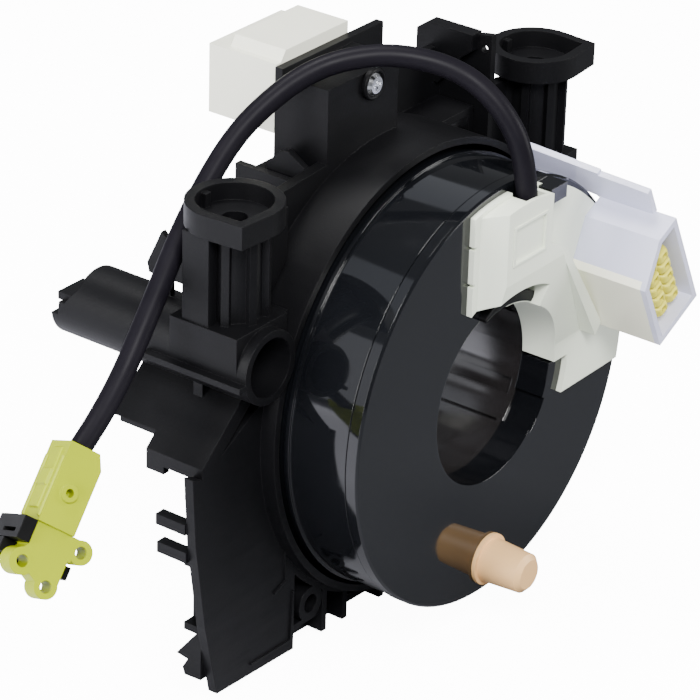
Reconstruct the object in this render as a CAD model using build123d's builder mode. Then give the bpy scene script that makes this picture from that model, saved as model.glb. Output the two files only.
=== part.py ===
from build123d import *
import os
from math import cos, radians, sin, tan

os.makedirs("parts", exist_ok=True)

# A steering clock spring, also called a spiral cable. It joins the wiring of the fixed
# steering column to the turning wheel through a flat ribbon coiled inside a drum.
# Millimetres. The wheel axis is Y: the rotor faces the driver (-Y), the column is at +Y.
# The origin is on the wheel axis at the rear end of the rotor's hub bore. +Z is up, along
# the two screw towers. Depths are measured from the rotor's face towards the column.

# Drum: the fixed glossy case behind the disc
drum_r = 49.7
drum_wall = 1.9
drum_floor_t = 1.8
bead_h = 0.5
sheet_t = 0.4

# Rotor: the glossy disc that turns with the steering wheel, and its hub
disc_lip = 0.3
disc_t = 3.0
disc_edge = 0.5
hub_bore_r = 21.9
hub_wall = 2.1
hub_rear = 38.0
groove_t = 1.3
mouth_step = 0.5
mouth_depth = 7.5
mouth_wall = 1.6
skirt_wall = 1.5
run_gap = 0.35
fit_gap = 0.1

# Ribbon: one flat cable wound in the drum
ribbon_turns = 3
ribbon_t = 0.5
ribbon_width = 22.0
block_depth = 3.9

# Bracket: the black moulding that carries the drum and is screwed to the column
collar_front = 19.7
collar_gap = 1.3
collar_wall = 1.7
floor_front = 32.5
floor_t = 2.5
web_t = 1.8
hub_clear = 1.4

# Screw towers
tower_gap = 1.6
tower_depth = 30.0
tower_top = 57.3
tower_foot = 31.0
cup_r = 10.6
cup_wall = 2.3
cup_h = 5.3
cup_recess = 4.0
cup_point = 13.6
column_r = 6.3
column_fin = 7.8
tower_hole_r = 2.7
tower_hole_len = 18.0

# Tube beside the collar, for the lever's wiring
tube_gap = 3.3
tube_z = 22.5
tube_r = 8.4
tube_bore_r = 6.7
tube_front = 18.5
tube_bore_len = 15.0
tube_rear = 72.0
tube_top_rear = 66.0

# Front panel below the tube
panel_front = 23.5
panel_t = 2.4
pocket_depth = 8.0
gusset_x = 38.6

# Terminal box at the top, and the white plug behind it
box_x0 = -20.0
box_x1 = 5.0
box_z0 = 50.0
box_z1 = 69.5
box_rear = 45.0
rear_plate_t = 2.0
rear_plate_x1 = 16.0
rear_plate_z1 = 71.0
plug_len = 18.5
plug_z0 = 55.3
plug_z1 = 71.4
plug_step = 2.4
plug_wall = 1.5
port_w = 17.0
port_h = 9.0
screw_x = -5.0
screw_z = 66.4

# Steering-wheel connector on the rotor
socket_inset = 9.0
socket_angle = 30.0
socket_turn = -64.0
socket_l = 26.0
socket_w = 16.0
socket_wall = 1.5
socket_cut_l = 7.8
socket_cut_w = 8.8
socket_front = -21.0
rail_t = 1.6
rail_front = 15.5
rail_reach = 17.0
foot_t = 1.4
cover_h = 6.0
cover_wall = 1.0
cover_inset = 1.6

# Channel that the lead leaves the holder by
exit_w = 7.6
exit_len = 9.4

# Drive pin
pin_x = 0.5
pin_inset = 7.7
pin_len = 11.6
pin_root_r = 5.2
pin_tip_r = 4.6
pin_ring_r = 6.1
pin_ring_t = 0.9
pin_spigot_r = 3.4

# Airbag lead: X, depth and height above the top of the disc
lead_d = 4.5
lead_route = [
    (5.0, -2.6, -5.4),
    (5.1, -1.9, 5.5),
    (4.2, 4.6, 16.0),
    (1.2, 13.6, 22.9),
    (-5.4, 25.0, 25.7),
    (-13.9, 33.7, 24.9),
    (-22.5, 39.0, 21.5),
    (-33.0, 42.6, 15.4),
    (-41.9, 43.5, 9.3),
    (-55.5, 42.4, -1.5),
    (-71.6, 39.0, -13.0),
    (-89.5, 36.4, -26.7),
    (-97.6, 35.4, -35.2),
]

# Airbag connector
airbag_w = 10.0
airbag_h = 8.6
airbag_l = 17.5
airbag_head_l = 5.1
lock_t = 3.0


def depth(d):
    """Y of a depth behind the rotor's face."""
    return d - hub_rear


def facing(d):
    """Plane square to the wheel axis at a depth: local x is X, local y is Z."""
    return Plane.XZ.offset(-depth(d))


def side(x):
    """Plane square to X: local x is Y, local y is Z."""
    return Plane.YZ.offset(x)


def sector(r_in, r_out, start, end, d):
    """Face between two radii and two angles from +X towards +Z, at a depth."""
    with BuildSketch(facing(d)) as face:
        with BuildLine():
            inner = CenterArc((0, 0), r_in, start, end - start)
            outer = CenterArc((0, 0), r_out, start, end - start)
            Line(inner @ 0, outer @ 0)
            Line(inner @ 1, outer @ 1)
        make_face()
    return face.sketch


def finish(part, name):
    """Label a finished piece and write its file."""
    part.part.label = name
    export_step(part.part, f"parts/{name}.step")


# Sizes that follow from the ones above
rotor_r = drum_r + disc_lip
collar_in = rotor_r + collar_gap
collar_out = collar_in + collar_wall
floor_back = floor_front + floor_t
drum_front = disc_t + run_gap
drum_in = drum_r - drum_wall
drum_floor = floor_front - drum_floor_t
mouth_r = hub_bore_r - mouth_step
mouth_out = mouth_r + mouth_wall
hub_out = hub_bore_r + hub_wall
hub_skirt_r = mouth_out + skirt_wall
hub_hole = hub_out + hub_clear
tower_x = collar_out + tower_gap
tube_x = -(collar_out + tube_gap)
plug_front = box_rear + rear_plate_t
cover_r = rotor_r - cover_inset
pin_z = -(rotor_r - pin_inset)
exit_z0 = rotor_r - exit_len
lug_z = rotor_r - 5.2
socket_x = (rotor_r - socket_inset) * cos(radians(socket_angle))
socket_z = (rotor_r - socket_inset) * sin(radians(socket_angle))
port_mid = ((box_x0 + box_x1) / 2, box_z1 - port_h / 2 - 1.8)
gusset_foot = ((collar_out - collar_wall / 2) ** 2 - gusset_x ** 2) ** 0.5


# Bracket housing, one black moulding
def tower_cup(x, hand):
    """Outline of a screw cup: a circle drawn out to a point towards the driver."""
    point = Vector(hand * cup_point * cos(radians(45)), -cup_point * sin(radians(45)))
    with BuildSketch(Plane.XY.offset(tower_top)) as cup:
        with Locations((x, depth(tower_depth))):
            Circle(cup_r)
        with Locations((x + point.X, depth(tower_depth) + point.Y)):
            Circle(0.2)
        make_hull()
    return cup.sketch


with BuildPart() as bracket_housing:
    # floor behind the drum, reaching out to the towers and up to the terminal box
    with BuildSketch(facing(floor_front)):
        with BuildLine():
            Polyline(
                (-tower_x - 7, 12), (-tower_x - 7, 46), (-46, 50.5), (box_x0, box_z0 + 2.3),
                (8, box_z0 + 2.3), (8, 30), (gusset_x, 30), (gusset_x, 50.5), (47, 50.5),
                (tower_x + 7, 46), (tower_x + 7, 20), (46, 6), (-46, 6), close=True,
            )
        make_face()
        Circle(collar_out)
    extrude(amount=-floor_t)

    # collar around the drum
    with BuildSketch(facing(collar_front)):
        Circle(collar_out)
        Circle(collar_in, mode=Mode.SUBTRACT)
    extrude(amount=-(floor_front - collar_front))

    # towers: fluted columns under pointed cups
    for hand in (-1, 1):
        with BuildSketch(Plane.XY.offset(tower_foot)):
            with Locations((hand * tower_x, depth(tower_depth))):
                Circle(column_r)
                for turn in (20, 65, 110, 155):
                    with Locations(Rotation(0, 0, hand * turn)):
                        Rectangle(2 * column_fin, web_t)
        extrude(amount=tower_top - cup_h - tower_foot)
        extrude(tower_cup(hand * tower_x, hand), amount=-cup_h)
        extrude(offset(tower_cup(hand * tower_x, hand), -cup_wall, mode=Mode.PRIVATE),
                amount=-cup_recess, mode=Mode.SUBTRACT)
        # rib that locates the screw's washer, inside the cup
        with BuildSketch(Plane.XY.offset(tower_top - cup_recess)):
            with Locations((hand * tower_x, depth(tower_depth) + cup_r - cup_wall)):
                Rectangle(web_t, 2.4)
        extrude(amount=cup_recess - 0.8)
        # foot block that ties the column to the collar and floor
        with BuildSketch(facing(tower_depth - column_fin)):
            with BuildLine():
                Polyline(
                    (hand * (tower_x + 8), tower_foot), (hand * (tower_x + 8), tower_foot - 2.2),
                    (hand * 46, tower_foot - 2.2), (hand * 46, tower_foot), close=True,
                )
            make_face()
        extrude(amount=-(floor_back - tower_depth + column_fin))

    # web between the left-hand column and the collar, in line with the floor's front
    with BuildSketch(facing(floor_front - 2 * web_t)):
        with BuildLine():
            Polyline(
                (-tower_x + 4, tower_foot - 1), (-tower_x + 4, 50), (-38, 50), (-38, 38),
                (-44, tower_foot), close=True,
            )
        make_face()
    extrude(amount=-2 * web_t)
    # plate along the left-hand column, down to the tube
    with BuildSketch(facing(tower_depth - 1)):
        with Locations((-tower_x - 8.35, 38.5)):
            Rectangle(2.7, 27.0)
    extrude(amount=-7.0)

    # leg under the right-hand tower: two walls and a floor rib
    with BuildSketch(facing(tower_depth - column_fin)):
        with BuildLine():
            Polyline(
                (tower_x + 8, tower_foot), (tower_x + 8, 20), (collar_in - 0.7, 11.2),
                (collar_in - 1.7, 15.2), (tower_x + 5.4, 22), (tower_x + 5.4, tower_foot), close=True,
            )
        make_face()
    extrude(amount=-(floor_back - tower_depth + column_fin))

    # tube beside the collar, open at the front, stepped at the rear
    with BuildSketch(facing(tube_front)):
        with Locations((tube_x, tube_z)):
            Circle(tube_r)
    extrude(amount=-(tube_rear - tube_front))
    with BuildSketch(side(tube_x - 12)):
        with BuildLine():
            Polyline(
                (depth(tube_top_rear), tube_z + 12), (depth(tube_top_rear), tube_z + 5.5),
                (depth(tube_top_rear + 2.5), tube_z + 2), (depth(tube_top_rear + 4), tube_z + 2),
                (depth(tube_top_rear + 4), tube_z - 1), (depth(tube_rear + 2), tube_z - 1),
                (depth(tube_rear + 2), tube_z + 12), close=True,
            )
        make_face()
    extrude(amount=24, mode=Mode.SUBTRACT)
    # foot block over the tube, and a ledge along its outer side
    with BuildSketch(facing(tube_front + 2.5)):
        with Locations((tube_x, tube_z + 4.5)):
            Rectangle(2 * tube_r, 9.0)
    extrude(amount=-18.0)
    with BuildSketch(facing(tube_front)):
        with Locations((tube_x - tube_r - 0.7, tube_z - 1.6)):
            Rectangle(2.6, 1.4)
    extrude(amount=-26.5)
    with BuildSketch(facing(tube_front)):
        with Locations((tube_x, tube_z)):
            Circle(tube_bore_r)
    extrude(amount=-tube_bore_len, mode=Mode.SUBTRACT)
    # channel in the rear end of the tube
    with BuildSketch(facing(tube_rear)):
        with Locations((tube_x, tube_z)):
            Rectangle(9.0, 8.0)
    extrude(amount=14.0, mode=Mode.SUBTRACT)
    # tongue across the channel
    with BuildSketch(facing(tube_rear - 0.5)):
        with Locations((tube_x - 2.6, tube_z + 2.6)):
            Rectangle(8.2, 1.8)
    extrude(amount=11.5)

    # side plate behind the left-hand column, with a catch on its rear edge and a window
    with BuildSketch(side(tube_x - 0.7)):
        with BuildLine():
            Polyline(
                (depth(34), tower_foot - 3), (depth(34), 45), (depth(39), 43.2), (depth(45.5), 43.2),
                (depth(47.7), 45.3), (depth(51.6), 37), (depth(51.1), 34.8), (depth(47.2), 34.7),
                (depth(47.2), tower_foot - 3), close=True,
            )
        make_face()
        with Locations((depth(41.7), 32.9)):
            Rectangle(6.9, 3.8, mode=Mode.SUBTRACT)
    extrude(amount=1.4)

    # sloping wing below the tube, stepped at its rear
    with BuildSketch(facing(panel_front)):
        with BuildLine():
            Polyline((-57.0, 17.0), (-72.5, 3.2), (-72.5, 0.2), (-70.5, 0.2), (-55.0, 13.8), close=True)
        make_face()
    extrude(amount=-(50.6 - panel_front))
    with BuildSketch(facing(38.8)):
        with Locations((-72.5, 0)):
            Rectangle(11.0, 12.0)
    extrude(amount=-14.0, mode=Mode.SUBTRACT)
    # lip along the wing's edge
    with BuildSketch(facing(34.0)):
        with Locations((-71.6, 0.4)):
            Rectangle(1.8, 4.0)
    extrude(amount=-4.8)

    # front panel, with a gap under the wing
    with BuildSketch(facing(panel_front)):
        with BuildLine():
            Polyline(
                (-75.6, 2.0), (-72.0, 0.6), (-51.5, 12.0), (-46, 14), (-30, 0), (0, -30), (4, -58.4),
                (-66.8, -54.8), (-71.0, -36.5), (-74.4, -15.0), close=True,
            )
        make_face()
        Circle(collar_in, mode=Mode.SUBTRACT)
    extrude(amount=-panel_t)

    # ribbed block under the collar, pockets open to the front
    with BuildSketch(facing(panel_front)):
        with BuildLine():
            Polyline((-42, -34), (-42, -56.1), (4, -58.4), (8, -50), (-20, -46), close=True)
        make_face()
        Circle(collar_in, mode=Mode.SUBTRACT)
    extrude(amount=-(floor_back - panel_front))
    with BuildSketch(facing(panel_front)):
        for x0, x1 in ((-39.9, -29.6), (-27.9, -21.9), (-20.2, -8.0), (-6.3, 2.0)):
            with BuildLine():
                Polyline((x0, -30), (x1, -30), (x1, -56.6 - 0.05 * x1 / 2), (x0, -54.4 + 0.02 * x0 / 2),
                         close=True)
            make_face()
        Circle(collar_out + 1.4, mode=Mode.SUBTRACT)
    extrude(amount=-pocket_depth, mode=Mode.SUBTRACT)
    with BuildSketch(facing(panel_front)):
        with Locations((-33.9, -47.2)):
            Circle(4.2)
            Circle(2.2, mode=Mode.SUBTRACT)
    extrude(amount=-pocket_depth - 1)

    # pockets open downwards at the front, and a rib across the first one
    with BuildSketch(facing(panel_front)):
        for x0, x1 in ((-39.9, -29.6), (-27.9, -21.9), (-20.2, -8.0), (-6.3, 2.0)):
            with Locations(((x0 + x1) / 2, -57.0)):
                Rectangle(x1 - x0, 8.0)
        Circle(collar_out + 1.4, mode=Mode.SUBTRACT)
    extrude(amount=-pocket_depth / 2, mode=Mode.SUBTRACT)
    with BuildSketch(facing(panel_front + 0.8)):
        with Locations((-34.3, -51.6)):
            Rectangle(11.6, 1.4)
    extrude(amount=-pocket_depth)
    # fine raised lines on the panel's face
    with BuildSketch(facing(panel_front)):
        with BuildLine():
            Polyline((-44.3, -28.8), (-43.8, -36.7), (-47.6, -38.2), (-47.4, -38.7), (-43.3, -37.1),
                     (-43.8, -28.8), close=True)
        make_face()
        with BuildLine():
            Polyline((-55.3, -53.0), (-41.1, -53.4), (-40.4, -40.8), (-40.9, -40.8), (-41.6, -52.9),
                     (-55.3, -52.5), close=True)
        make_face()
    extrude(amount=0.4)

    # ribs, hooks and a clip behind the panel
    with BuildSketch(facing(panel_front + panel_t)):
        for z in (-8, -24, -40):
            with Locations((-58.5, z)):
                Rectangle(19, web_t)
        for x in (-64, -52):
            with Locations((x, -24)):
                Rectangle(web_t, 34)
        Circle(collar_in, mode=Mode.SUBTRACT)
    extrude(amount=-6.0)
    with BuildSketch(facing(panel_front + panel_t)):
        with Locations((-73.9, -11), (-73.5, -18)):
            Rectangle(2.6, 2.6)
    extrude(amount=-pocket_depth)
    with BuildSketch(side(-69.5)):
        with BuildLine():
            Polyline((depth(25.9), -38), (depth(32.7), -46.5), (depth(29.6), -47), (depth(31), -49.4),
                     (depth(30.4), -51.2), (depth(25.9), -51), close=True)
        make_face()
    extrude(amount=3.0)

    # terminal box, hollow towards the rear plug
    with BuildSketch(facing(floor_front)):
        with Locations(((box_x0 + box_x1) / 2, (box_z0 + box_z1) / 2)):
            Rectangle(box_x1 - box_x0, box_z1 - box_z0)
    extrude(amount=-(box_rear - floor_front))
    # rear plate with its notch
    with BuildSketch(facing(box_rear)):
        with BuildLine():
            Polyline((box_x0, 45), (box_x0, rear_plate_z1), (rear_plate_x1, rear_plate_z1),
                     (rear_plate_x1, 58.5), (39, 58.5), (39, 45), close=True)
        make_face()
    extrude(amount=-rear_plate_t)
    with BuildSketch(facing(plug_front)):
        with Locations(port_mid):
            Rectangle(port_w, port_h)
    extrude(amount=plug_front - floor_front - 3.0, mode=Mode.SUBTRACT)
    with BuildSketch(facing(floor_front)):
        with Locations((screw_x, screw_z)):
            Circle(1.25)
    extrude(amount=-3.5, mode=Mode.SUBTRACT)

    # gusset and top flange beside the right-hand tower
    with BuildSketch(side(gusset_x)):
        with BuildLine():
            Polyline(
                (depth(31.3), gusset_foot), (depth(31.3), 64.1), (depth(34.9), 63.5),
                (depth(41.2), 57.6), (depth(47), 57), (depth(47), gusset_foot), close=True,
            )
        make_face()
        with Locations((depth(33.1), 60.5)):
            Circle(0.9, mode=Mode.SUBTRACT)
        with Locations((depth(35.8), 44.6)):
            Circle(0.6, mode=Mode.SUBTRACT)
    extrude(amount=web_t)
    with BuildSketch(side(gusset_x - 2.4)):
        with BuildLine():
            Polyline((depth(35), 60), (depth(35), 64), (depth(47.6), 64), (depth(50.3), 62),
                     (depth(50.3), 55), (depth(47), 50), (depth(44), 50), (depth(37.6), 58), close=True)
        make_face()
    extrude(amount=3.8)

    # skirt behind the floor, under the terminal box
    with BuildSketch(facing(floor_back)):
        with BuildLine():
            Polyline((-27, 29), (-27, 49.5), (-25.2, 49.5), (-25.2, 46.3), (38, 46.3), (38, 29),
                     close=True)
        make_face()
        with BuildLine():
            Polyline((-25.2, 27), (-25.2, 44.5), (36.2, 44.5), (36.2, 27), close=True)
        make_face(mode=Mode.SUBTRACT)
    extrude(amount=-17.0)
    # hooked fin on the skirt, beside the terminal box
    with BuildSketch(side(-24.5)):
        with BuildLine():
            Polyline((depth(35), 46.3), (depth(35), 52), (depth(39.9), 55), (depth(42.2), 54.1),
                     (depth(45.4), 50.6), (depth(45.4), 46.3), close=True)
        make_face()
    extrude(amount=1.6)

    # ring and radial ribs that stiffen the floor from behind
    with BuildSketch(facing(floor_back)):
        Circle(hub_hole + 4.6)
    extrude(amount=-8.0)
    for turn in range(15, 375, 30):
        with BuildSketch(facing(floor_back)):
            with Locations(Rotation(0, 0, turn)):
                with Locations((hub_hole + 13, 0)):
                    Rectangle(22, web_t)
        extrude(amount=-4.5)
    with BuildSketch(facing(floor_back)):
        Circle(collar_out)
        Circle(collar_out - 2.2, mode=Mode.SUBTRACT)
    extrude(amount=-4.5)
    # way through for the hub
    with BuildSketch(facing(floor_front)):
        Circle(hub_hole)
    extrude(amount=-floor_t, mode=Mode.SUBTRACT)
    with BuildSketch(facing(floor_back)):
        Circle(hub_hole + 2.6)
    extrude(amount=-10.0, mode=Mode.SUBTRACT)

    # screw holes down the towers
    for hand in (-1, 1):
        with BuildSketch(Plane.XY.offset(tower_top)):
            with Locations((hand * tower_x, depth(tower_depth))):
                Circle(tower_hole_r)
        extrude(amount=-(cup_recess + tower_hole_len), mode=Mode.SUBTRACT)
finish(bracket_housing, "bracket_housing")


# Drum case, the fixed glossy shell that the ribbon lies in
with BuildPart() as drum_case:
    with BuildSketch(facing(drum_front)):
        Circle(drum_r)
    extrude(amount=-(floor_front - drum_front))
    with BuildSketch(facing(drum_front)):
        Circle(drum_in)
    extrude(amount=-(drum_floor - drum_front), mode=Mode.SUBTRACT)
    with BuildSketch(facing(drum_floor)):
        Circle(hub_hole)
    extrude(amount=-drum_floor_t, mode=Mode.SUBTRACT)
    # bead that the collar holds
    with BuildSketch(facing(collar_front - 1.6)):
        Circle(drum_r + bead_h)
        Circle(drum_r - bead_h, mode=Mode.SUBTRACT)
    extrude(amount=-1.2)
finish(drum_case, "drum_case")


# Slide sheets that keep the ribbon off the drum's floor and the disc
for name, d in (("slide_sheet_front", disc_t + 2.9), ("slide_sheet_rear", drum_floor - sheet_t)):
    with BuildPart() as slide_sheet:
        with BuildSketch(facing(d)):
            Circle(drum_in - 0.6)
            Circle(hub_skirt_r + 0.6, mode=Mode.SUBTRACT)
        extrude(amount=-sheet_t)
    finish(slide_sheet, name)


# Rotor disc with the mouth of its hub
with BuildPart() as rotor_disc:
    with BuildSketch(facing(0)):
        Circle(rotor_r)
    extrude(amount=-disc_t)
    front_rim = rotor_disc.edges().group_by(Axis.Y)[0]
    chamfer(front_rim, disc_edge)
    # lug beside the lead's way out
    with BuildSketch(facing(0)):
        with Locations((14.2, lug_z)):
            Rectangle(6.0, 3.6)
    extrude(amount=foot_t + 3.4)
    with BuildSketch(facing(disc_t)):
        Circle(mouth_out)
    extrude(amount=-(mouth_depth - disc_t))
    # labyrinth ring that runs inside the drum
    with BuildSketch(facing(disc_t)):
        Circle(drum_in - 0.7)
        Circle(drum_in - 2.2, mode=Mode.SUBTRACT)
    extrude(amount=-2.4)
    with BuildSketch(facing(0)):
        Circle(mouth_r)
    extrude(amount=-mouth_depth, mode=Mode.SUBTRACT)
    # seat for the white holder's sleeve, and the key that locates the wheel
    extrude(sector(mouth_r - 2, mouth_out + 3, -3.4, 89.4, 0), amount=-mouth_depth - 1, mode=Mode.SUBTRACT)
    extrude(sector(mouth_r - 2, mouth_r + 1.0, -46.4, -25.0, 0), amount=-mouth_depth - 1, mode=Mode.SUBTRACT)
    # hole for the drive pin's spigot
    with BuildSketch(facing(0)):
        with Locations((pin_x, pin_z)):
            Circle(pin_spigot_r)
    extrude(amount=-disc_t, mode=Mode.SUBTRACT)
finish(rotor_disc, "rotor_disc")


# Hub sleeve behind the mouth, with three slots and three windows in its wall
with BuildPart() as hub_sleeve:
    with BuildSketch(facing(mouth_depth)):
        Circle(hub_out)
        Circle(hub_bore_r, mode=Mode.SUBTRACT)
    extrude(amount=-(hub_rear - mouth_depth))
    # skirt around the mouth
    with BuildSketch(facing(disc_t)):
        Circle(hub_skirt_r)
        Circle(mouth_out + fit_gap, mode=Mode.SUBTRACT)
    extrude(amount=-(mouth_depth - disc_t))
    with BuildSketch(facing(mouth_depth)):
        Circle(hub_skirt_r)
        Circle((hub_bore_r + hub_out) / 2, mode=Mode.SUBTRACT)
    extrude(amount=-1.5)
    # grooves down the bore: a narrow and a broad one, three times around
    for turn in (0, 120, 240):
        extrude(sector(hub_bore_r - 2, hub_bore_r + groove_t, turn - 30, turn - 20.5, mouth_depth + 1.6),
                amount=-(drum_floor - mouth_depth), mode=Mode.SUBTRACT)
        extrude(sector(hub_bore_r - 2, hub_bore_r + groove_t, turn - 95, turn - 46, mouth_depth + 1.6),
                amount=-(drum_floor - mouth_depth), mode=Mode.SUBTRACT)
    # room for the white holder's sleeve
    extrude(sector(mouth_out - 1, mouth_out + 4, -3.4, 89.4, disc_t), amount=-(mouth_depth - disc_t),
            mode=Mode.SUBTRACT)
finish(hub_sleeve, "hub_sleeve")


# Retaining ring that snaps on the hub behind the floor
with BuildPart() as retaining_ring:
    with BuildSketch(facing(floor_back + run_gap)):
        Circle(hub_hole + 2.2)
        Circle(hub_out, mode=Mode.SUBTRACT)
    extrude(amount=-1.8)
finish(retaining_ring, "retaining_ring")


# Ribbon coil: one flat cable wound from the hub's block to the drum's block
ribbon_start_r = hub_out + block_depth
ribbon_end_r = drum_in - block_depth
ribbon_pitch = (ribbon_end_r - ribbon_start_r) / ribbon_turns
ribbon_front = disc_t + 4.2
with BuildPart() as ribbon_coil:
    with BuildSketch(facing(ribbon_front)):
        with BuildLine():
            for half in range(2 * ribbon_turns):
                r = ribbon_start_r + half * ribbon_pitch / 2
                centre = (0, 0) if half % 2 == 0 else (ribbon_pitch / 2, 0)
                start = 180 * (half % 2)
                inner = CenterArc(centre, r, start, 180)
                outer = CenterArc(centre, r + ribbon_t, start, 180)
                if half == 0:
                    Line(inner @ 0, outer @ 0)
            Line(inner @ 1, outer @ 1)
        make_face()
    extrude(amount=-ribbon_width)
finish(ribbon_coil, "ribbon_coil")


# Terminal blocks at the ribbon's two ends
hub_shoulder = mouth_depth + 1.5 + fit_gap
block_width = ribbon_front + ribbon_width - hub_shoulder
with BuildPart() as inner_terminal_block:
    extrude(sector(hub_out, ribbon_start_r - 0.3, -8, 14, hub_shoulder), amount=-block_width)
finish(inner_terminal_block, "inner_terminal_block")
with BuildPart() as outer_terminal_block:
    extrude(sector(ribbon_end_r + ribbon_t + fit_gap, drum_in, -8, 14, ribbon_front), amount=-ribbon_width)
finish(outer_terminal_block, "outer_terminal_block")


# Shape that the steering-wheel connector's pieces share
socket_plane = Plane(
    origin=(socket_x, depth(0), socket_z),
    x_dir=(cos(radians(socket_turn)), 0, sin(radians(socket_turn))),
    z_dir=(0, -1, 0),
)


def socket_section(height, inset):
    """Rectangle with one corner cut off, at a height over the disc, drawn in by an inset."""
    l = socket_l / 2
    w = socket_w / 2
    with BuildSketch(socket_plane.offset(height)) as outline:
        with BuildLine():
            Polyline((-l, w), (l, w), (l, -w), (-l + socket_cut_l, -w), (-l, -w + socket_cut_w),
                     close=True)
        make_face()
        if inset:
            offset(amount=-inset, kind=Kind.INTERSECTION)
    return outline.sketch


# White holder on the rotor's face, with its sleeve in the hub's mouth
with BuildPart() as connector_holder:
    # foot on the rotor's face, notched along its left edge
    with BuildSketch(facing(0)):
        Circle(cover_r)
        with Locations((18.2, 20.6)):
            Rectangle(60.8, 60.2, mode=Mode.INTERSECT)
        Circle(mouth_out + 3.6, mode=Mode.SUBTRACT)
        with Locations((-12.2, 31.0), (-12.2, 39.8)):
            Rectangle(1.6, 0.8, mode=Mode.SUBTRACT)
        with Locations((14.2, lug_z)):
            Rectangle(6.0 + 2 * fit_gap, 3.6 + 2 * fit_gap, mode=Mode.SUBTRACT)
    extrude(amount=foot_t)
    # raised block at the upper left, and the slope from it down to the hub's mouth
    with BuildSketch(facing(0)):
        Circle(cover_r - 0.8)
        with BuildLine():
            Polyline((-10.3, -5.4), (-10.3, 60), (10.5, 60), (10.5, 34.5), (14.2, 32.8),
                     (31.3, 3.9), (33.8, -5.4), close=True)
        make_face(mode=Mode.INTERSECT)
        Circle(mouth_out + 3.6, mode=Mode.SUBTRACT)
    extrude(amount=cover_h)
    # band around the mouth
    extrude(sector(mouth_r, mouth_out + 4, -1, 62, 0), amount=cover_h)
    with BuildSketch(Plane.XY.offset(-20)):
        with BuildLine():
            Polyline((-10.4, depth(-foot_t)), (-6.2, depth(-cover_h)), (-6.2, depth(-cover_h - 2)),
                     (-16, depth(-cover_h - 2)), (-16, depth(-foot_t)), close=True)
        make_face()
    extrude(amount=80, mode=Mode.SUBTRACT)
    with BuildSketch(side(-20)):
        with BuildLine():
            Polyline((depth(-cover_h), 30), (depth(-foot_t), 4), (depth(-foot_t), -20),
                     (depth(-cover_h - 2), -20), (depth(-cover_h - 2), 30), close=True)
        make_face()
    extrude(amount=80, mode=Mode.SUBTRACT)
    # rib between the slope and the connector
    with BuildSketch(socket_plane):
        with BuildLine():
            Polyline((-20.4, -13.8), (13.1, -11.1), (11.9, -7.9), (-17.2, -11.6), close=True)
        make_face()
    extrude(amount=cover_h - 0.5)
    # hollow behind the block, for the lead and the terminals
    with BuildSketch(facing(0)):
        Circle(cover_r - 3.4)
        with Locations((1.9, 37.0)):
            Rectangle(14.8, 24.0, mode=Mode.INTERSECT)
        Circle(mouth_out + 8, mode=Mode.SUBTRACT)
    extrude(amount=cover_h - cover_wall, mode=Mode.SUBTRACT)
    # way out for the lead at the top
    with BuildSketch(facing(0)):
        with Locations((lead_route[0][0], exit_z0 + 5)):
            Rectangle(exit_w, 10.0)
    extrude(amount=cover_h - cover_wall, mode=Mode.SUBTRACT)
    # seat of the connector
    extrude(socket_section(foot_t, -fit_gap), amount=cover_h, mode=Mode.SUBTRACT)
    # bare frame on the block's face, with its field recessed
    with BuildSketch(facing(-cover_h)):
        with Locations((2.0, 38.7)):
            Rectangle(12.4, 9.4)
    extrude(amount=0.3)
    with BuildSketch(facing(-cover_h - 0.3)):
        with Locations((2.0, 38.7)):
            Rectangle(11.2, 8.2)
    extrude(amount=-0.7, mode=Mode.SUBTRACT)
    # sleeve that lines the hub's mouth, and its low rim beside the band
    extrude(sector(mouth_r, mouth_out + 1.3, -1, 88, 0), amount=-(mouth_depth - 0.2))
    extrude(sector(mouth_r, mouth_out + 0.6, 61, 88, 0), amount=1.5)
finish(connector_holder, "connector_holder")


# Translucent shroud around the steering-wheel connector
rail_plane = Plane(
    origin=socket_plane.origin + socket_plane.y_dir * (socket_w / 2 - 1.0),
    x_dir=socket_plane.x_dir,
    z_dir=socket_plane.y_dir,
)
with BuildPart() as connector_shroud:
    extrude(socket_section(foot_t, 0), amount=-socket_front - foot_t)
    extrude(socket_section(foot_t, socket_wall), amount=-socket_front - foot_t, mode=Mode.SUBTRACT)
    # rail plate along the outer corner, reaching back over the drum
    with BuildSketch(rail_plane):
        with BuildLine():
            Polyline(
                (-socket_l / 2 + 0.4, -rail_front), (-19.6, -rail_front), (-20.3, -2.5), (-20.9, -2.5),
                (-22.3, rail_reach), (-15.0, rail_reach), (-socket_l / 2 - 0.2, -0.5),
                (-socket_l / 2 + 0.4, -foot_t), close=True,
            )
        make_face()
    extrude(amount=rail_t)
finish(connector_shroud, "connector_shroud")


# Cream connector body inside the shroud, its yellow insert and its terminals
body_front = -socket_front - 8.0
insert_front = -socket_front - 4.0
pins_across = 5
pin_step = 3.2
row_step = 4.6
with BuildPart() as steering_connector:
    extrude(socket_section(foot_t, socket_wall + fit_gap), amount=body_front - foot_t)
    with BuildSketch(socket_plane.offset(body_front)):
        with Locations((1.5, 0.5)):
            with GridLocations(pin_step, row_step, pins_across, 2):
                Rectangle(1.3, 1.3)
    extrude(amount=-3.0, mode=Mode.SUBTRACT)
finish(steering_connector, "steering_connector")
with BuildPart() as connector_insert:
    extrude(socket_section(body_front, socket_wall + 1.0), amount=insert_front - body_front)
    with BuildSketch(socket_plane.offset(body_front)):
        with Locations((1.5, 0.5)):
            with GridLocations(pin_step, row_step, pins_across, 2):
                Rectangle(1.3, 1.3)
    extrude(amount=insert_front - body_front, mode=Mode.SUBTRACT)
finish(connector_insert, "connector_insert")
with BuildPart() as steering_terminals:
    with BuildSketch(socket_plane.offset(body_front - 3.0)):
        with Locations((1.5, 0.5)):
            with GridLocations(pin_step, row_step, pins_across, 2):
                Rectangle(1.0, 1.0)
    extrude(amount=insert_front - body_front + 3.6)
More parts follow.
